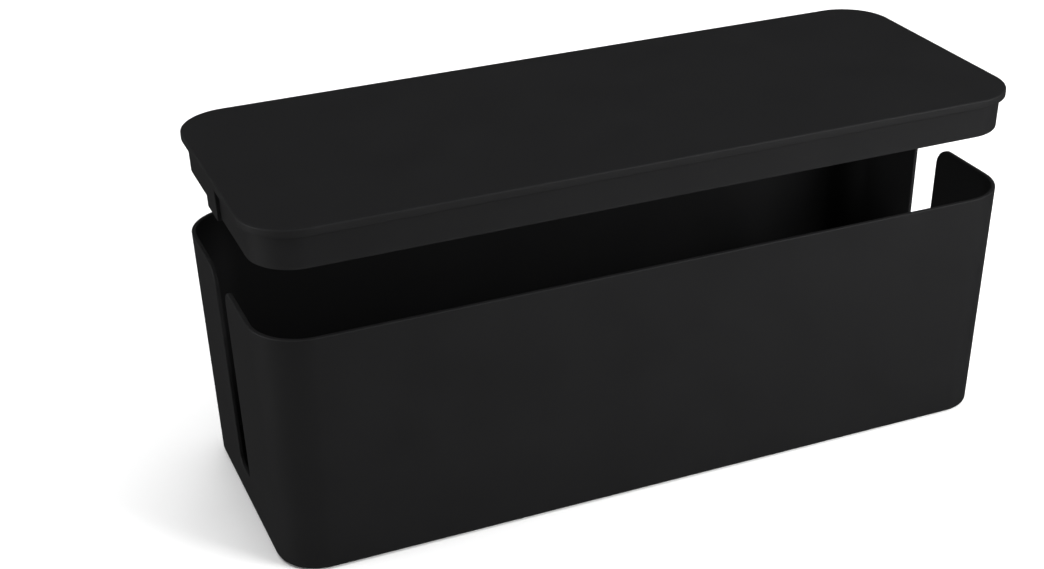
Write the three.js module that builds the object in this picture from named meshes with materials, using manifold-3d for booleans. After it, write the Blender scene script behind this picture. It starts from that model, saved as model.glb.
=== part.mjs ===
// Cable management box: a drafted, open-topped tub with a cable slot in each end wall, a lift-off lid
// whose skirt plugs into the tub, and four rubber feet pressed into pockets under the tub.
// Millimetres, +Z up. X runs along the length and the front faces -Y. The origin lies on the surface
// that the box stands on, under its middle. The lid is shown held above the tub, as when it is lifted off.

import * as THREE from "three";
import { mergeVertices } from "three/addons/utils/BufferGeometryUtils.js";
import Module from "manifold-3d";

const wasm = await Module();
wasm.setup();

// Tub: outside sizes at the rim, and the draft that narrows it towards the base.
const RIM_LENGTH = 400;
const RIM_WIDTH = 154;
const RIM_CORNER = 26;
const FOOT_STAND = 1;
const RIM_Z = 128.5;
const BASE_INSET = 4;
const WALL = 2.2;

// Cable slot in each end wall, open at the rim with a flared mouth.
const SLOT_BOTTOM_Z = 18;
const SLOT_TOP_WIDTH = 20;
const SLOT_BOTTOM_WIDTH = 18.5;
const SLOT_BOTTOM_CORNER = 5;
const SLOT_MOUTH_RADIUS = 10;

// Lid: a flat plate as large as the rim, over a skirt that follows the tub's inside walls.
const LID_PLATE = 4;
const LID_EDGE = 0.8;
const LID_SKIN = 2.5;
const SKIRT_DEPTH = 17;
const SKIRT_WALL = 2;
const SKIRT_CLEARANCE = 0.5;
const TONGUE_WIDTH = 18.4;
const TONGUE_INSET = 0.4;
const SEAT_GAP = 0.3;
const LID_LIFT = 50;

// Feet: round pads in shallow pockets under the floor.
const FOOT_RADIUS = 6;
const POCKET_DEPTH = 1;
const POCKET_CLEARANCE = 0.3;
const FOOT_X = 160;
const FOOT_Y = 46;

const CORNER_SEGMENTS = 10;
const FOOT_SEGMENTS = 40;
const OVERCUT = 5;

const DRAFT = BASE_INSET / (RIM_Z - FOOT_STAND);
const LID_Z = RIM_Z + SEAT_GAP + LID_LIFT;

const plastic = { color: 0x161617, roughness: 0.5, metalness: 0 };
const rubber = { color: 0x0c0c0c, roughness: 0.85, metalness: 0 };

/** How far the tub's outside face stands in from the rim's, at a height measured from the rim. */
function draftInset(zFromRim) {
  return -zFromRim * DRAFT;
}

/** A closed geometry as a manifold solid. */
function solid(geometry) {
  const bare = geometry.index ? geometry.toNonIndexed() : geometry.clone();
  bare.deleteAttribute("normal");
  bare.deleteAttribute("uv");
  const merged = mergeVertices(bare, 1e-4);
  return new wasm.Manifold(new wasm.Mesh({
    numProp: 3,
    vertProperties: new Float32Array(merged.attributes.position.array),
    triVerts: new Uint32Array(merged.index.array),
  }));
}

/** A manifold solid as a geometry. */
function geometryOf(body) {
  const mesh = body.getMesh();
  const geometry = new THREE.BufferGeometry();
  geometry.setAttribute("position", new THREE.BufferAttribute(new Float32Array(mesh.vertProperties), 3));
  geometry.setIndex(new THREE.BufferAttribute(new Uint32Array(mesh.triVerts), 1));
  geometry.computeVertexNormals();
  return geometry;
}

/** A rectangle with round corners, centred on the origin. */
function roundedRectangle(length, width, radius) {
  const x = length / 2 - radius;
  const y = width / 2 - radius;
  const shape = new THREE.Shape();
  shape.moveTo(x + radius, -y);
  shape.lineTo(x + radius, y);
  shape.absarc(x, y, radius, 0, Math.PI / 2);
  shape.absarc(-x, y, radius, Math.PI / 2, Math.PI);
  shape.absarc(-x, -y, radius, Math.PI, 1.5 * Math.PI);
  shape.absarc(x, -y, radius, 1.5 * Math.PI, 2 * Math.PI);
  return shape;
}

/** The rim's outline carried from z = bottom to z = top, set in by its own amount at each of the two. */
function drafted(bottom, top, bottomInset, topInset) {
  const geometry = new THREE.ExtrudeGeometry(roundedRectangle(RIM_LENGTH, RIM_WIDTH, RIM_CORNER), {
    depth: top - bottom,
    bevelEnabled: false,
    curveSegments: CORNER_SEGMENTS,
  });
  const coreX = RIM_LENGTH / 2 - RIM_CORNER;
  const coreY = RIM_WIDTH / 2 - RIM_CORNER;
  const position = geometry.attributes.position;
  for (let i = 0; i < position.count; i += 1) {
    const t = position.getZ(i) / (top - bottom);
    const inset = bottomInset + (topInset - bottomInset) * t;
    const centreX = THREE.MathUtils.clamp(position.getX(i), -coreX, coreX);
    const centreY = THREE.MathUtils.clamp(position.getY(i), -coreY, coreY);
    const keep = (RIM_CORNER - inset) / RIM_CORNER;
    position.setX(i, centreX + (position.getX(i) - centreX) * keep);
    position.setY(i, centreY + (position.getY(i) - centreY) * keep);
    position.setZ(i, bottom + position.getZ(i));
  }
  return solid(geometry);
}

/** The space of both cable slots: one cutter that runs the whole length, seen here from its end. */
function slotCutter() {
  const top = SLOT_TOP_WIDTH / 2;
  const bottom = SLOT_BOTTOM_WIDTH / 2;
  const shoulder = RIM_Z - SLOT_MOUTH_RADIUS;
  const shape = new THREE.Shape();
  shape.moveTo(-bottom + SLOT_BOTTOM_CORNER, SLOT_BOTTOM_Z);
  shape.lineTo(bottom - SLOT_BOTTOM_CORNER, SLOT_BOTTOM_Z);
  shape.absarc(bottom - SLOT_BOTTOM_CORNER, SLOT_BOTTOM_Z + SLOT_BOTTOM_CORNER, SLOT_BOTTOM_CORNER, -Math.PI / 2, 0);
  shape.lineTo(top, shoulder);
  shape.absarc(top + SLOT_MOUTH_RADIUS, shoulder, SLOT_MOUTH_RADIUS, Math.PI, Math.PI / 2, true);
  shape.lineTo(top + SLOT_MOUTH_RADIUS, RIM_Z + OVERCUT);
  shape.lineTo(-top - SLOT_MOUTH_RADIUS, RIM_Z + OVERCUT);
  shape.lineTo(-top - SLOT_MOUTH_RADIUS, RIM_Z);
  shape.absarc(-top - SLOT_MOUTH_RADIUS, shoulder, SLOT_MOUTH_RADIUS, Math.PI / 2, 0, true);
  shape.lineTo(-bottom, SLOT_BOTTOM_Z + SLOT_BOTTOM_CORNER);
  shape.absarc(-bottom + SLOT_BOTTOM_CORNER, SLOT_BOTTOM_Z + SLOT_BOTTOM_CORNER, SLOT_BOTTOM_CORNER,
    Math.PI, 1.5 * Math.PI);
  const length = RIM_LENGTH + 2 * OVERCUT;
  const geometry = new THREE.ExtrudeGeometry(shape, {
    depth: length,
    bevelEnabled: false,
    curveSegments: CORNER_SEGMENTS,
  });
  geometry.rotateX(Math.PI / 2);
  geometry.rotateZ(Math.PI / 2);
  geometry.translate(-length / 2, 0, 0);
  return solid(geometry);
}

/** A round disc from z = bottom upwards. */
function disc(radius, height, x, y, bottom) {
  const geometry = new THREE.CylinderGeometry(radius, radius, height, FOOT_SEGMENTS);
  geometry.rotateX(Math.PI / 2);
  geometry.translate(x, y, bottom + height / 2);
  return geometry;
}

const footPlaces = {
  foot_front_left: [-FOOT_X, -FOOT_Y],
  foot_front_right: [FOOT_X, -FOOT_Y],
  foot_rear_left: [-FOOT_X, FOOT_Y],
  foot_rear_right: [FOOT_X, FOOT_Y],
};

function tubGeometry() {
  const floorTop = FOOT_STAND + WALL;
  const outside = drafted(FOOT_STAND, RIM_Z, BASE_INSET, 0);
  const inside = drafted(
    floorTop,
    RIM_Z + OVERCUT,
    draftInset(floorTop - RIM_Z) + WALL,
    draftInset(OVERCUT) + WALL,
  );
  let tub = outside.subtract(inside).subtract(slotCutter());
  for (const [x, y] of Object.values(footPlaces)) {
    const pocket = disc(FOOT_RADIUS + POCKET_CLEARANCE, POCKET_DEPTH + FOOT_STAND, x, y, 0);
    tub = tub.subtract(solid(pocket));
  }
  return geometryOf(tub);
}

/** A bar along X over the skirt's full depth, which picks out the middle of both end walls. */
function endBar(width, bottom) {
  const bar = new THREE.BoxGeometry(RIM_LENGTH + OVERCUT, width, -bottom);
  bar.translate(0, 0, bottom / 2);
  return solid(bar);
}

/** The lid about its seated height: the plate's underside lies at z = 0. */
function lidGeometry() {
  const bottom = -SKIRT_DEPTH;
  const belowBottom = bottom - OVERCUT;
  const skirtInset = WALL + SKIRT_CLEARANCE;
  const recessInset = skirtInset + SKIRT_WALL;
  const pocketInset = TONGUE_INSET + SKIRT_WALL;
  const ceiling = LID_PLATE - LID_SKIN;
  const plate = drafted(0, LID_PLATE - LID_EDGE, 0, 0);
  const edge = drafted(LID_PLATE - LID_EDGE, LID_PLATE, 0, LID_EDGE);
  const skirt = drafted(bottom, 0, draftInset(bottom) + skirtInset, skirtInset);
  const tongues = drafted(bottom, 0, draftInset(bottom) + TONGUE_INSET, TONGUE_INSET)
    .intersect(endBar(TONGUE_WIDTH, bottom));
  const recess = drafted(
    belowBottom,
    ceiling,
    draftInset(belowBottom) + recessInset,
    draftInset(ceiling) + recessInset,
  );
  const pockets = drafted(belowBottom, 0, draftInset(belowBottom) + pocketInset, pocketInset)
    .intersect(endBar(TONGUE_WIDTH - 2 * SKIRT_WALL, belowBottom));
  const full = skirt.add(tongues).add(plate).add(edge);
  return geometryOf(full.subtract(recess).subtract(pockets));
}

function mesh(name, geometry, finish) {
  const node = new THREE.Mesh(geometry, new THREE.MeshStandardMaterial(finish));
  node.name = name;
  return node;
}

const group = new THREE.Group();
group.add(mesh("tub", tubGeometry(), plastic));

const lid = mesh("lid", lidGeometry(), plastic);
lid.position.z = LID_Z;
group.add(lid);

const footHeight = FOOT_STAND + POCKET_DEPTH - POCKET_CLEARANCE;
for (const [name, [x, y]] of Object.entries(footPlaces)) {
  group.add(mesh(name, disc(FOOT_RADIUS, footHeight, x, y, 0), rubber));
}

export default group;
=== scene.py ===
"""A cable management box: a drafted tub with a cable slot in each end, a lift-off lid and four feet."""

import math

import bmesh
import bpy
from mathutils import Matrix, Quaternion, Vector


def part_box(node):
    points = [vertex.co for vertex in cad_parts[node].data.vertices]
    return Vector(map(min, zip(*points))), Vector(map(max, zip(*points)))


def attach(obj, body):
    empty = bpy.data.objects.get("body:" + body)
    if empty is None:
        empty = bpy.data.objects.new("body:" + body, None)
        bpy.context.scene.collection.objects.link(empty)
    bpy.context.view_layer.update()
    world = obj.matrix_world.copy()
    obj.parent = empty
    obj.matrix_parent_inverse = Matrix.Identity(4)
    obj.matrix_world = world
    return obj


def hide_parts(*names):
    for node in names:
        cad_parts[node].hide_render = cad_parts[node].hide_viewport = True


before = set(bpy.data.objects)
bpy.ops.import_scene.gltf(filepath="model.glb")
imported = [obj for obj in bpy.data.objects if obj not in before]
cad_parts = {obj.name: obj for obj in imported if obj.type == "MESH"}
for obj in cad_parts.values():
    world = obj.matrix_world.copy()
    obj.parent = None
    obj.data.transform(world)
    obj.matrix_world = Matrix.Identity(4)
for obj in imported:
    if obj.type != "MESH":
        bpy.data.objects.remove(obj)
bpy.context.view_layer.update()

MM = 0.001

# ---------------------------------------------------------------- sizes, in metres
tub_low, tub_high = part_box("tub")
lid_low, lid_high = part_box("lid")
FEET = [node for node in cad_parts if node.startswith("foot_")]

# the tub: outline at the rim, draft, and the slot in each end wall
RIM_Z = tub_high.z
BASE_Z = tub_low.z
RIM_CORNER = 26 * MM
BASE_INSET = 4 * MM
WALL = 2.2 * MM
FLOOR_Z = BASE_Z + WALL
CORE_X = tub_high.x - RIM_CORNER
CORE_Y = tub_high.y - RIM_CORNER
DRAFT = BASE_INSET / (RIM_Z - BASE_Z)
SLOT_BOTTOM_Z = 18 * MM
SLOT_TOP_HALF = 10 * MM
SLOT_BOTTOM_HALF = 9.25 * MM
SLOT_BOTTOM_CORNER = 5 * MM
SLOT_MOUTH_RADIUS = 10 * MM

# the tub's edge rounding, and the two plain rows between its fillets and the slots' sills
RIM_ROUND = 0.6 * MM
BASE_ROUND = 1.2 * MM
FLOOR_FILLET = 2.5 * MM
BELLY_Z = 8 * MM
UNDER_SILL_Z = SLOT_BOTTOM_Z - 2.4 * MM

# the pockets for the feet, and the marks that moulding leaves. The nub's radii are shares of the gate's.
DIMPLE_DRAFT = 0.08 * MM
POCKET_RADIUS = 6.3 * MM
POCKET_DEPTH = 1 * MM
EJECTOR_RADIUS = 4 * MM
EJECTOR_DEPTH = 0.15 * MM
TUB_EJECTOR_X = (-150 * MM, -50 * MM, 50 * MM, 150 * MM)
TUB_EJECTOR_Y = (-40 * MM, 40 * MM)
LID_EJECTOR_X = (-140 * MM, 0.0, 140 * MM)
LID_EJECTOR_Y = (-45 * MM, 45 * MM)
GATE_RADIUS = 5 * MM
GATE_DEPTH = 0.6 * MM
NUB_HEIGHT = GATE_DEPTH / 2
NUB_FOOT = 0.3
NUB_TIP = 0.22

# the lid: a plate over a skirt, with a tongue in the middle of each end
LID_PLATE = 4 * MM
LID_SKIN = 2.5 * MM
TOP_Z = lid_high.z
SEAT_Z = TOP_Z - LID_PLATE
CEILING_Z = TOP_Z - LID_SKIN
SKIRT_LOW_Z = lid_low.z
SKIRT_INSET = WALL + 0.5 * MM
SKIRT_WALL = 2 * MM
RECESS_INSET = SKIRT_INSET + SKIRT_WALL
TONGUE_HALF = 9.2 * MM
TONGUE_INSET = 0.4 * MM

# the lid's edge rounding, and the plain rows that lie a little way off its edges
LID_EDGE_ROUND = 0.8 * MM
LIP_ROUND = 0.3 * MM
SKIRT_ROUND = 0.6 * MM
CEILING_FILLET = 0.8 * MM
OUTER_JOG_ROUND = 0.4 * MM
INNER_JOG_ROUND = 0.5 * MM
TONGUE_ROUND = 0.6 * MM
TOP_ROW_INSET = 5 * MM
EDGE_ROW_INSET = LID_EDGE_ROUND + 0.9 * MM
LIP_ROW_Z = SEAT_Z + 1.2 * MM
SKIRT_ROWS_Z = (SEAT_Z - 1 * MM, (SEAT_Z + SKIRT_LOW_Z) / 2, SKIRT_LOW_Z + 2 * MM)

# the feet: a bevelled pad with a dished face, which tapers near its top. The dish's two radii are
# shares of the foot's, and the taper starts at a share of its height.
FOOT_BEVEL = 0.45 * MM
FOOT_DISH = 0.15 * MM
FOOT_TAPER = 0.15 * MM
DISH_FLOOR = 0.55
DISH_EDGE = 0.66
TAPER_START = 0.7

# how worn each rounded edge is, from 0 to 1
RIM_WEAR = 1.0
LID_WEAR = 0.8
LIP_WEAR = 0.6

# how finely the stretches are stepped
CORNER_STEPS = 14
LONG_STEPS = 18
PANEL_STEPS = 9
SILL_STEPS = 4
SLOT_CORNER_STEPS = 6
SLOT_SIDE_STEPS = 26
MOUTH_STEPS = 16
TONGUE_STEPS = 3
ROUND_STEPS = 5
SMALL_ROUND_STEPS = 4
LIP_STEPS = 3
DISC_STEPS = 36

MERGE_DISTANCE = 1e-7
SHARP_ANGLE = math.radians(40)


def steps(count, first=0):
    """Even shares of 1, from first / count up to 1."""
    return [i / count for i in range(first, count + 1)]


def lerp(a, b, t):
    return a + (b - a) * t


def quarter_turn(count, first=0):
    """(sine, cosine) at even steps from 0 to 90 degrees."""
    return [(math.sin(t * math.pi / 2), math.cos(t * math.pi / 2)) for t in steps(count, first)]


def circle(x, y, radius, z):
    """The points of a level circle, as a closed row."""
    turn = [2 * math.pi * i / DISC_STEPS for i in range(DISC_STEPS)]
    return [Vector((x + radius * math.cos(a), y + radius * math.sin(a), z)) for a in turn]


def add_object(name, data):
    """A new object in the scene."""
    added = bpy.data.objects.new(name, data)
    bpy.context.scene.collection.objects.link(added)
    return added


# ---------------------------------------------------------------- mesh helpers
class Grid:
    """Collects vertices and faces, with an edge-wear weight for each vertex."""

    def __init__(self):
        self.points = []
        self.wear = []
        self.faces = []
        self.fills = []

    def row(self, points, wear=0.0):
        """Adds points, and returns their places in the list."""
        first = len(self.points)
        self.points += points
        self.wear += [wear] * len(points)
        return list(range(first, len(self.points)))

    def band(self, low, high, closed=True):
        """Quads between two rows of the same length."""
        count = len(low)
        for i in range(count if closed else count - 1):
            j = (i + 1) % count
            self.faces.append((low[i], low[j], high[j], high[i]))

    def bands(self, rows, closed=True):
        for low, high in zip(rows, rows[1:]):
            self.band(low, high, closed)

    def fill(self, outline, *holes):
        """A flat face inside a closed row, with closed rows cut out of it."""
        self.fills.append((outline, *holes))

    def dimple(self, x, y, z, radius, depth, nub=0.0):
        """A round recess that goes up or down from height z by depth. Its mouth's row is returned."""
        mouth = self.row(circle(x, y, radius, z))
        floor = self.row(circle(x, y, radius - DIMPLE_DRAFT, z + depth))
        self.band(mouth, floor)
        if nub:
            foot = self.row(circle(x, y, radius * NUB_FOOT, z + depth))
            tip = self.row(circle(x, y, radius * NUB_TIP, z + depth - nub))
            self.band(foot, tip)
            self.fill(floor, foot)
            self.fill(tip)
        else:
            self.fill(floor)
        return mouth

    def gate(self, z):
        """The gate's recess in the middle of a face, with the nub that is left of the sprue."""
        return self.dimple(0.0, 0.0, z, GATE_RADIUS, GATE_DEPTH, NUB_HEIGHT)

    def build(self, name):
        """The object made of all the rows, bands and fills."""
        mesh = bpy.data.meshes.new(name)
        mesh.from_pydata([tuple(p) for p in self.points], [], self.faces)
        mesh.attributes.new("wear", "FLOAT", "POINT").data.foreach_set("value", self.wear)
        bm = bmesh.new()
        bm.from_mesh(mesh)
        bm.verts.ensure_lookup_table()
        for rows in self.fills:
            edges = []
            for row in rows:
                for i, vertex in enumerate(row):
                    pair = (bm.verts[vertex], bm.verts[row[(i + 1) % len(row)]])
                    edges.append(bm.edges.get(pair) or bm.edges.new(pair))
            if len(rows) == 1:
                bm.faces.new([bm.verts[vertex] for vertex in rows[0]])
            else:
                bmesh.ops.triangle_fill(bm, edges=edges, use_beauty=True)
        bmesh.ops.remove_doubles(bm, verts=bm.verts, dist=MERGE_DISTANCE)
        bmesh.ops.recalc_face_normals(bm, faces=bm.faces)
        for face in bm.faces:
            face.smooth = True
        bm.to_mesh(mesh)
        bm.free()
        mesh.set_sharp_from_angle(angle=SHARP_ANGLE)
        piece = add_object(name, mesh)
        normals = piece.modifiers.new("weighted_normals", "WEIGHTED_NORMAL")
        normals.keep_sharp = True
        return piece


def place(core, way, depth, z):
    """A point moved in by depth from the rim's outline, at height z.

    core is the point that its corner is drawn about, and way is the outline's normal there.
    """
    reach = RIM_CORNER - depth
    return Vector((core[0] + way[0] * reach, core[1] + way[1] * reach, z))


def round_the_corner():
    """(core, way) from the middle of the rear wall to the rear end of the right end wall."""
    along = [((lerp(0.0, CORE_X, t), CORE_Y), (0.0, 1.0)) for t in steps(LONG_STEPS)]
    return along + [((CORE_X, CORE_Y), (s, c)) for s, c in quarter_turn(CORNER_STEPS, 1)]


# ---------------------------------------------------------------- the tub
def slot_edge():
    """Half of a slot's outline as (y, z), from its sill to the rim, where the edge rounding begins."""
    corner_y = SLOT_BOTTOM_HALF - SLOT_BOTTOM_CORNER
    corner_z = SLOT_BOTTOM_Z + SLOT_BOTTOM_CORNER
    mouth_y = SLOT_TOP_HALF + SLOT_MOUTH_RADIUS
    mouth_z = RIM_Z - SLOT_MOUTH_RADIUS
    low_radius = SLOT_BOTTOM_CORNER + RIM_ROUND
    high_radius = SLOT_MOUTH_RADIUS - RIM_ROUND
    low = [
        (corner_y + low_radius * s, corner_z - low_radius * c)
        for s, c in quarter_turn(SLOT_CORNER_STEPS)
    ]
    high = [
        (mouth_y - high_radius * c, mouth_z + high_radius * s)
        for s, c in quarter_turn(MOUTH_STEPS)
    ]
    straight = [
        (lerp(low[-1][0], high[0][0], t), lerp(corner_z, mouth_z, t))
        for t in steps(SLOT_SIDE_STEPS, 1)
    ]
    return low + straight + high[1:]


def row_heights(outline):
    """The height, away from the end walls, of each row that starts on the slot's outline."""
    lengths = [0.0]
    for (y0, z0), (y1, z1) in zip(outline, outline[1:]):
        lengths.append(lengths[-1] + math.hypot(y1 - y0, z1 - z0))
    return [lerp(outline[0][1], outline[-1][1], length / lengths[-1]) for length in lengths]


def half_row(edge, z, side):
    """(core, way, z) along the rear (side 1) or front (side -1) wall, from the left slot to the right."""
    edge_y, edge_z = edge
    right = [(core, way, z) for core, way in round_the_corner()]
    right += [
        ((CORE_X, lerp(CORE_Y, edge_y, t)), (1.0, 0.0), lerp(z, edge_z, t))
        for t in steps(PANEL_STEPS, 1)
    ]
    left = [((-core[0], core[1]), (-way[0], way[1]), height) for core, way, height in right]
    return [
        ((core[0], core[1] * side), (way[0], way[1] * side), height)
        for core, way, height in left[:0:-1] + right
    ]


def full_row(z):
    """A closed row below the slots: rear wall, right end, front wall and left end."""
    sill_half = SLOT_BOTTOM_HALF - SLOT_BOTTOM_CORNER
    edge = (sill_half, z)
    under = [lerp(sill_half, -sill_half, t) for t in steps(SILL_STEPS, 1)[:-1]]
    right = [((CORE_X, y), (1.0, 0.0), z) for y in under]
    left = [((-CORE_X, -y), (-1.0, 0.0), z) for y in under]
    return half_row(edge, z, 1) + right + half_row(edge, z, -1)[::-1] + left


def tub_skin(grid, depth, low_rows):
    """One face of the walls: its lowest row, and the closed row of its edge at the rim and slots.

    low_rows are (z, extra depth) for the rows below the sill.
    """
    def at(stations, extra=0.0):
        return grid.row([
            place(core, way, (RIM_Z - z) * DRAFT + depth + extra, z)
            for core, way, z in stations
        ])

    outline = slot_edge()
    heights = row_heights(outline)
    closed = [at(full_row(z), extra) for z, extra in low_rows]
    sill = at(full_row(heights[0]))
    grid.bands(closed + [sill])
    span = len(half_row(outline[0], heights[0], 1))
    front_start = span + SILL_STEPS - 1
    rear = [sill[:span]]
    front = [sill[front_start:front_start + span][::-1]]
    for edge, z in zip(outline[1:], heights[1:]):
        rear.append(at(half_row(edge, z, 1)))
        front.append(at(half_row(edge, z, -1)))
    grid.bands(rear, closed=False)
    grid.bands(front, closed=False)
    right_sill = sill[span - 1:front_start + 1]
    left_sill = sill[front_start + span - 1:] + sill[:1]
    # along the rear rim, down and up the right slot, back along the front rim, down and up the left slot
    edge_row = rear[-1]
    edge_row += [row[-1] for row in rear[-2:0:-1]] + right_sill + [row[-1] for row in front[1:-1]]
    edge_row += front[-1][::-1]
    edge_row += [row[0] for row in front[-2:0:-1]] + left_sill + [row[0] for row in rear[1:-1]]
    return closed[0], edge_row


def fillet_rows(z, radius):
    """(z, extra depth) up a fillet that rises from height z."""
    return [(z + radius * (1 - c), radius * (1 - s)) for s, c in quarter_turn(ROUND_STEPS)]


def round_edge(grid, outer_edge, inner_edge):
    """Joins the walls' two faces with an edge whose corners are rounded."""
    count = len(outer_edge)
    points = grid.points
    sections = []
    for k in range(count):
        outer = points[outer_edge[k]]
        inner = points[inner_edge[k]]
        along = points[outer_edge[(k + 1) % count]] - points[outer_edge[k - 1]]
        thick = (outer - inner).normalized()
        out = along.cross(thick).normalized()
        arc = [
            (out * s * RIM_ROUND, thick * (1 - c) * RIM_ROUND)
            for s, c in quarter_turn(ROUND_STEPS, 1)
        ]
        section = [outer + rise - back for rise, back in arc]
        section += [inner + rise + back for rise, back in reversed(arc)]
        sections.append(section)
    rows = [outer_edge]
    rows += [grid.row(list(row), RIM_WEAR) for row in zip(*sections)]
    grid.bands(rows + [inner_edge])


def make_tub():
    """Both faces of the walls, joined at the rim and slots, with the base and the floor filled."""
    grid = Grid()
    belly = [(BELLY_Z, 0.0), (UNDER_SILL_Z, 0.0)]
    base_loop, outer_edge = tub_skin(grid, 0.0, fillet_rows(BASE_Z, BASE_ROUND) + belly)
    floor_loop, inner_edge = tub_skin(grid, WALL, fillet_rows(FLOOR_Z, FLOOR_FILLET) + belly)
    round_edge(grid, outer_edge, inner_edge)
    pockets = []
    for node in FEET:
        low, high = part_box(node)
        centre = (low + high) / 2
        pockets.append(grid.dimple(centre.x, centre.y, BASE_Z, POCKET_RADIUS, POCKET_DEPTH))
    gate = grid.gate(BASE_Z)
    grid.fill(base_loop, gate, *pockets)
    marks = [
        grid.dimple(x, y, FLOOR_Z, EJECTOR_RADIUS, -EJECTOR_DEPTH)
        for x in TUB_EJECTOR_X
        for y in TUB_EJECTOR_Y
    ]
    grid.fill(floor_loop, *marks)
    return grid.build("tub_shell")


# ---------------------------------------------------------------- the lid
def jog(half, face_depth, tongue_depth, face_round, tongue_round):
    """(y, depth) round one side of a tongue, from the skirt's face to the tongue's."""
    turn = quarter_turn(SMALL_ROUND_STEPS)
    far = [(half + face_round * (1 - s), face_depth - face_round * (1 - c)) for s, c in turn]
    near = [(half - tongue_round * (1 - c), tongue_depth + tongue_round * (1 - s)) for s, c in turn]
    return far + near


def lid_quarter(face_depth, tongue_depth, half, face_round):
    """(core, way, depth) on one face of the skirt, from the rear wall's middle to the right end's."""
    bend = jog(half, face_depth, tongue_depth, face_round, TONGUE_ROUND)
    first_y, last_y = bend[0][0], bend[-1][0]
    panel = [(lerp(CORE_Y, first_y, t), face_depth) for t in steps(PANEL_STEPS, 1)[:-1]]
    middle = [(lerp(last_y, 0.0, t), tongue_depth) for t in steps(TONGUE_STEPS, 1)]
    quarter = [(core, way, face_depth) for core, way in round_the_corner()]
    return quarter + [((CORE_X, y), (1.0, 0.0), depth) for y, depth in panel + bend + middle]


def all_round(quarter):
    """A closed row from a quarter that ends on both planes of symmetry."""
    def flip(row, x, y):
        return [((c[0] * x, c[1] * y), (w[0] * x, w[1] * y), depth) for c, w, depth in row]
    return (
        quarter[:-1]
        + flip(quarter, 1, -1)[:0:-1]
        + flip(quarter, -1, -1)[:-1]
        + flip(quarter, -1, 1)[:0:-1]
    )


def inward(row):
    """For each point of a closed row, the level unit vector that points to the row's inside."""
    count = len(row)
    found = []
    for k in range(count):
        along = row[(k + 1) % count] - row[k - 1]
        found.append(Vector((along.y, -along.x, 0.0)).normalized())
    return found


def plate_rows(grid, stations):
    """The lid's plate, from its flat top over the edge and in under the lip."""
    def at(depth, z, wear=0.0):
        return grid.row([place(core, way, depth, z) for core, way, _ in stations], wear)

    rows = [at(TOP_ROW_INSET, TOP_Z), at(EDGE_ROW_INSET, TOP_Z)]
    for s, c in quarter_turn(ROUND_STEPS):
        rows.append(at(LID_EDGE_ROUND * (1 - s), TOP_Z - LID_EDGE_ROUND * (1 - c), LID_WEAR))
    rows.append(at(0.0, LIP_ROW_Z))
    for s, c in quarter_turn(LIP_STEPS):
        rows.append(at(LIP_ROUND * (1 - c), SEAT_Z + LIP_ROUND * (1 - s), LIP_WEAR))
    return rows


def skirt_points(stations, z, extra=0.0):
    """The skirt's points at height z, moved in by its draft and by extra."""
    return [
        place(core, way, depth + extra + (SEAT_Z - z) * DRAFT, z)
        for core, way, depth in stations
    ]


def rolled_edge(stations, side):
    """One corner of the skirt's lower edge, which rolls inwards (side 1) or outwards (side -1)."""
    start = skirt_points(stations, SKIRT_LOW_Z + SKIRT_ROUND)
    ways = inward(start)
    found = []
    for s, c in quarter_turn(SMALL_ROUND_STEPS):
        shift = side * SKIRT_ROUND * (1 - c)
        drop = Vector((0, 0, -SKIRT_ROUND * s))
        found.append([point + way * shift + drop for point, way in zip(start, ways)])
    return found


def skirt_rows(grid, outside, inside):
    """The skirt, down its outer face, round its lower edge and up its inner face."""
    rows = [grid.row(skirt_points(outside, z)) for z in (SEAT_Z, *SKIRT_ROWS_Z)]
    for points in rolled_edge(outside, 1) + rolled_edge(inside, -1)[::-1]:
        rows.append(grid.row(points, LID_WEAR))
    return rows + [grid.row(skirt_points(inside, z)) for z in (*SKIRT_ROWS_Z[::-1], SEAT_Z)]


def ceiling_rows(grid, inside):
    """From the top of the tongues' pockets up the fillet to the lid's ceiling."""
    plain = [(core, way, RECESS_INSET) for core, way, _ in inside]
    rows = [grid.row(skirt_points(plain, SEAT_Z))]
    for s, c in quarter_turn(SMALL_ROUND_STEPS):
        z = CEILING_Z - CEILING_FILLET * (1 - s)
        rows.append(grid.row(skirt_points(plain, z, CEILING_FILLET * (1 - c))))
    return rows


def make_lid():
    """Closed rows from the top round the lip and the skirt to the ceiling, filled at both ends."""
    grid = Grid()
    outside = all_round(lid_quarter(SKIRT_INSET, TONGUE_INSET, TONGUE_HALF, OUTER_JOG_ROUND))
    inside = all_round(lid_quarter(
        RECESS_INSET, TONGUE_INSET + SKIRT_WALL, TONGUE_HALF - SKIRT_WALL, INNER_JOG_ROUND,
    ))
    rows = plate_rows(grid, outside) + skirt_rows(grid, outside, inside) + ceiling_rows(grid, inside)
    grid.bands(rows)
    grid.fill(rows[0])
    marks = [
        grid.dimple(x, y, CEILING_Z, EJECTOR_RADIUS, EJECTOR_DEPTH)
        for x in LID_EJECTOR_X
        for y in LID_EJECTOR_Y
    ]
    grid.fill(rows[-1], grid.gate(CEILING_Z), *marks)
    return grid.build("lid_shell")


# ---------------------------------------------------------------- the feet
def make_foot(node):
    """A closed stack of circles, from the dished face up to the top in its pocket."""
    low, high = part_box(node)
    centre = (low + high) / 2
    radius = (high.x - low.x) / 2
    profile = [(radius * DISH_FLOOR, low.z + FOOT_DISH), (radius * DISH_EDGE, low.z)]
    profile += [
        (radius - FOOT_BEVEL * (1 - s), low.z + FOOT_BEVEL * (1 - c))
        for s, c in quarter_turn(ROUND_STEPS)
    ]
    profile += [(radius, lerp(low.z, high.z, TAPER_START)), (radius - FOOT_TAPER, high.z)]
    grid = Grid()
    rows = [grid.row(circle(centre.x, centre.y, r, z)) for r, z in profile]
    grid.bands(rows)
    grid.fill(rows[0])
    grid.fill(rows[-1])
    return grid.build(node + "_pad")


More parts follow.
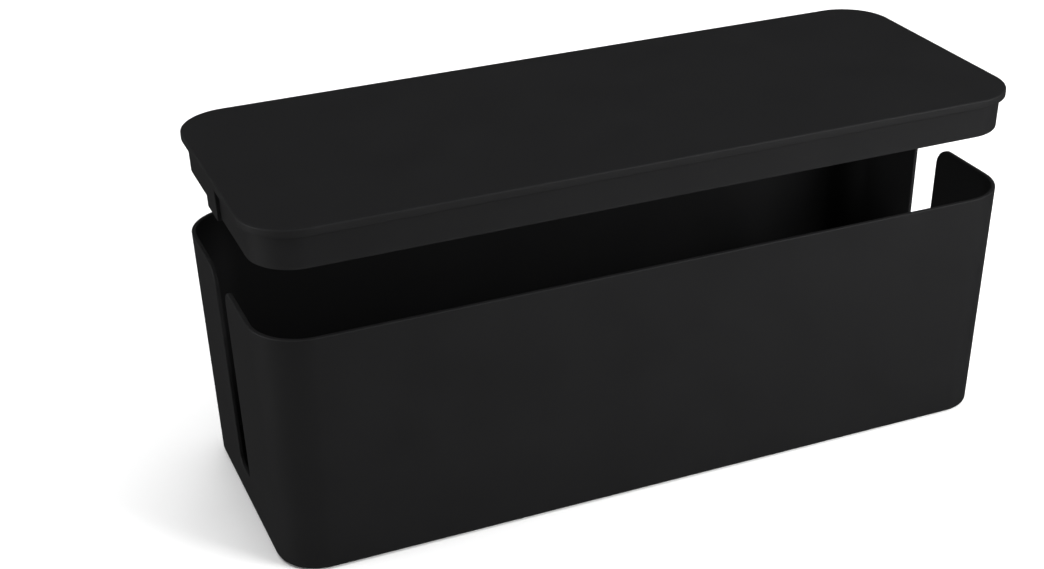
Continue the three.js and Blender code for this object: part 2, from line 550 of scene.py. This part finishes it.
# ---------------------------------------------------------------- materials
# where a noise's values mostly lie
NOISE_RANGE = (0.3, 0.7)

# black plastic: the two tones of its mottling and its worn edges, as linear colours, and its gloss
PLASTIC_DARK = (0.0068, 0.0068, 0.0071)
PLASTIC_LIGHT = (0.0078, 0.0078, 0.0081)
PLASTIC_WORN = (0.0092, 0.0092, 0.0095)
PLASTIC_ROUGHNESS = (0.55, 0.57)
PLASTIC_SPECULAR = 0.22

# wear comes in patches: where they lie in their noise, and how much of an edge's wear shows in them
WORN_RANGE = (0.38, 0.66)
WORN_SHARE = (0.15, 1.0)
WORN_ROUGHENING = 0.15

# scuffs: a noise drawn out into fine lines, which are a little smoother than the rest
SCUFF_RANGE = (0.62, 0.74)
SCUFF_STRETCH = (3, 42, 10)
SCUFF_TURN = (0.0, 0.0, math.radians(17))
SCUFF_POLISH = 0.03

# foot rubber: the two tones of its speckle, as linear colours, and its gloss
RUBBER_DARK = (0.007, 0.007, 0.007)
RUBBER_LIGHT = (0.014, 0.014, 0.014)
RUBBER_ROUGHNESS = (0.78, 0.92)
RUBBER_SPECULAR = 0.3

# a Mix node's colour sockets, whose names its number and vector sockets share
MIX_A = 6
MIX_B = 7
MIX_RESULT = 2


class Nodes:
    """A material's node tree, with short calls to add and join nodes."""

    def __init__(self, name):
        self.material = bpy.data.materials.new(name)
        self.material.use_nodes = True
        self.tree = self.material.node_tree
        self.shader = self.tree.nodes["Principled BSDF"]
        self.coordinates = self.add("ShaderNodeTexCoord").outputs["Object"]

    def add(self, kind, **settings):
        node = self.tree.nodes.new(kind)
        for key, value in settings.items():
            setattr(node, key, value)
        return node

    def join(self, output, socket):
        self.tree.links.new(output, socket)

    def noise(self, scale, detail, roughness=0.5, stretch=None, turn=(0.0, 0.0, 0.0)):
        """A noise over the object's own coordinates, which are turned and stretched if asked for."""
        node = self.add("ShaderNodeTexNoise")
        node.inputs["Scale"].default_value = scale
        node.inputs["Detail"].default_value = detail
        node.inputs["Roughness"].default_value = roughness
        where = self.coordinates
        if stretch:
            mapping = self.add("ShaderNodeMapping")
            mapping.inputs["Scale"].default_value = stretch
            mapping.inputs["Rotation"].default_value = turn
            self.join(where, mapping.inputs["Vector"])
            where = mapping.outputs["Vector"]
        self.join(where, node.inputs["Vector"])
        return node.outputs["Fac"]

    def spread(self, value, found, wanted):
        """value from the range found carried to the range wanted, and held there beyond."""
        node = self.add("ShaderNodeMapRange")
        for key, number in zip(("From Min", "From Max", "To Min", "To Max"), (*found, *wanted)):
            node.inputs[key].default_value = number
        self.join(value, node.inputs["Value"])
        return node.outputs["Result"]

    def math(self, operation, a, b):
        """A sum on two values: each is a number or a socket."""
        node = self.add("ShaderNodeMath", operation=operation)
        for socket, value in zip(node.inputs, (a, b)):
            if isinstance(value, (int, float)):
                socket.default_value = value
            else:
                self.join(value, socket)
        return node.outputs["Value"]

    def blend(self, factor, a, b):
        """A colour between two: each is a colour or a socket."""
        node = self.add("ShaderNodeMix", data_type="RGBA")
        self.join(factor, node.inputs["Factor"])
        for socket, value in ((node.inputs[MIX_A], a), (node.inputs[MIX_B], b)):
            if isinstance(value, tuple):
                socket.default_value = (*value, 1.0)
            else:
                self.join(value, socket)
        return node.outputs[MIX_RESULT]

    def bump(self, height, strength, distance, under=None):
        """A bumped normal, laid over the one in under if there is one."""
        node = self.add("ShaderNodeBump")
        node.inputs["Strength"].default_value = strength
        node.inputs["Distance"].default_value = distance
        self.join(height, node.inputs["Height"])
        if under is not None:
            self.join(under, node.inputs["Normal"])
        return node.outputs["Normal"]

    def finish(self, colour, roughness, normal, specular):
        """Joins the looks to the shader, and gives the material."""
        self.join(colour, self.shader.inputs["Base Color"])
        self.join(roughness, self.shader.inputs["Roughness"])
        self.join(normal, self.shader.inputs["Normal"])
        self.shader.inputs["Specular IOR Level"].default_value = specular
        return self.material


def moulded_plastic():
    """Black plastic from a spark-eroded mould: fine grain, slight mottling, paler, duller worn edges."""
    n = Nodes("black_plastic")
    mottle = n.noise(scale=28, detail=4, roughness=0.6)
    patches = n.spread(n.noise(scale=160, detail=3), WORN_RANGE, WORN_SHARE)
    worn = n.add("ShaderNodeAttribute", attribute_name="wear").outputs["Fac"]
    rubbed = n.math("MULTIPLY", worn, patches)
    scratches = n.noise(scale=9, detail=6, roughness=0.7, stretch=SCUFF_STRETCH, turn=SCUFF_TURN)
    scuffs = n.spread(scratches, SCUFF_RANGE, (0, 1))
    base = n.blend(n.spread(mottle, NOISE_RANGE, (0, 1)), PLASTIC_DARK, PLASTIC_LIGHT)
    rough = n.spread(mottle, NOISE_RANGE, PLASTIC_ROUGHNESS)
    rough = n.math("ADD", rough, n.math("MULTIPLY", rubbed, WORN_ROUGHENING))
    rough = n.math("SUBTRACT", rough, n.math("MULTIPLY", scuffs, SCUFF_POLISH))
    grain = n.bump(n.noise(scale=1500, detail=3, roughness=0.65), strength=0.35, distance=0.03 * MM)
    waves = n.bump(n.noise(scale=16, detail=1), strength=0.06, distance=0.04 * MM, under=grain)
    return n.finish(n.blend(rubbed, base, PLASTIC_WORN), rough, waves, PLASTIC_SPECULAR)


def foot_rubber():
    """Matt rubber with a fine speckle."""
    n = Nodes("foot_rubber")
    speckle = n.noise(scale=900, detail=3)
    colour = n.blend(speckle, RUBBER_DARK, RUBBER_LIGHT)
    rough = n.spread(speckle, NOISE_RANGE, RUBBER_ROUGHNESS)
    grain = n.bump(n.noise(scale=1400, detail=2), strength=0.5, distance=0.04 * MM)
    return n.finish(colour, rough, grain, RUBBER_SPECULAR)


# ---------------------------------------------------------------- the stage, lights and camera
WHITE = (1, 1, 1, 1)
STAGE_SIZE = 16
STAGE_COLOUR = (0.94, 0.94, 0.94, 1)
STAGE_ROUGHNESS = 0.9
STAGE_SPECULAR = 0.1
WORLD_STRENGTH = 0.05

# what each light is aimed at
TOP_AIM = (0, 0.3, 0)
RIGHT_AIM = (0.17, -0.05, 0.1)
LEFT_AIM = (0, 0, 0.11)
REAR_AIM = (0, 0, 0.08)

# the camera: its place as seen from its target, and its sensor and lens in millimetres
CAMERA_AZIMUTH = math.radians(-22.0)
CAMERA_ELEVATION = math.radians(27.33)
CAMERA_ROLL = math.radians(-1.24)
CAMERA_DISTANCE = 0.9367
CAMERA_TARGET = Vector((-0.0393, 0.0118, 0.0846))
SENSOR_WIDTH = 36
FOCAL_LENGTH = 61.88


def make_stage():
    """A white floor, which isn't seen in reflections."""
    bpy.ops.mesh.primitive_plane_add(size=STAGE_SIZE)
    floor = bpy.context.object
    floor.name = "floor"
    material = bpy.data.materials.new("floor_white")
    material.use_nodes = True
    shader = material.node_tree.nodes["Principled BSDF"]
    shader.inputs["Base Color"].default_value = STAGE_COLOUR
    shader.inputs["Roughness"].default_value = STAGE_ROUGHNESS
    shader.inputs["Specular IOR Level"].default_value = STAGE_SPECULAR
    floor.data.materials.append(material)
    floor.visible_glossy = False


def softbox(name, at, aim, size, power, mirrored=True):
    """An area light in metres and watts, left out of reflections unless mirrored."""
    light = bpy.data.lights.new(name, "AREA")
    light.shape = "RECTANGLE"
    light.size, light.size_y = size
    light.energy = power
    lamp = add_object(name, light)
    lamp.location = at
    lamp.rotation_euler = (Vector(aim) - Vector(at)).to_track_quat("-Z", "Y").to_euler()
    lamp.visible_camera = False
    lamp.visible_glossy = mirrored


def make_lights():
    """A dim world, a large top light, and small lights low at the right, left and rear."""
    world = bpy.data.worlds.new("studio")
    world.use_nodes = True
    sky = world.node_tree.nodes["Background"]
    sky.inputs["Color"].default_value = WHITE
    sky.inputs["Strength"].default_value = WORLD_STRENGTH
    bpy.context.scene.world = world
    softbox("top_light", (0.0, 0.3, 3.6), TOP_AIM, size=(5.6, 5.6), power=235, mirrored=False)
    softbox("right_light", (0.55, -0.7, 0.44), RIGHT_AIM, size=(0.5, 0.4), power=4.4)
    softbox("right_fill", (0.6, -0.72, 0.46), RIGHT_AIM, size=(0.5, 0.4), power=9.3, mirrored=False)
    softbox("left_light", (-3, 0.25, 0.45), LEFT_AIM, size=(0.8, 0.6), power=47)
    softbox("rear_light", (0.5, 2.4, 0.7), REAR_AIM, size=(1.6, 0.8), power=26, mirrored=False)
    bpy.context.scene.view_settings.view_transform = "Standard"


def make_camera():
    """Looks at the target from a distance, by azimuth from the front, elevation and roll."""
    back = Vector((
        math.sin(CAMERA_AZIMUTH) * math.cos(CAMERA_ELEVATION),
        -math.cos(CAMERA_AZIMUTH) * math.cos(CAMERA_ELEVATION),
        math.sin(CAMERA_ELEVATION),
    ))
    data = bpy.data.cameras.new("camera")
    data.sensor_width = SENSOR_WIDTH
    data.lens = FOCAL_LENGTH
    camera = add_object("camera", data)
    camera.location = CAMERA_TARGET + back * CAMERA_DISTANCE
    camera.rotation_mode = "QUATERNION"
    camera.rotation_quaternion = Quaternion(-back, -CAMERA_ROLL) @ (-back).to_track_quat("-Z", "Y")
    bpy.context.scene.camera = camera


def fit(piece, body, node, material):
    """piece takes the place of a CAD node and moves with its body."""
    piece.data.materials.append(material)
    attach(piece, body)
    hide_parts(node)


make_camera()
make_stage()
make_lights()
plastic = moulded_plastic()
rubber = foot_rubber()
fit(make_tub(), "tub", "tub", plastic)
fit(make_lid(), "lid", "lid", plastic)
for foot in FEET:
    fit(make_foot(foot), "tub", foot, rubber)
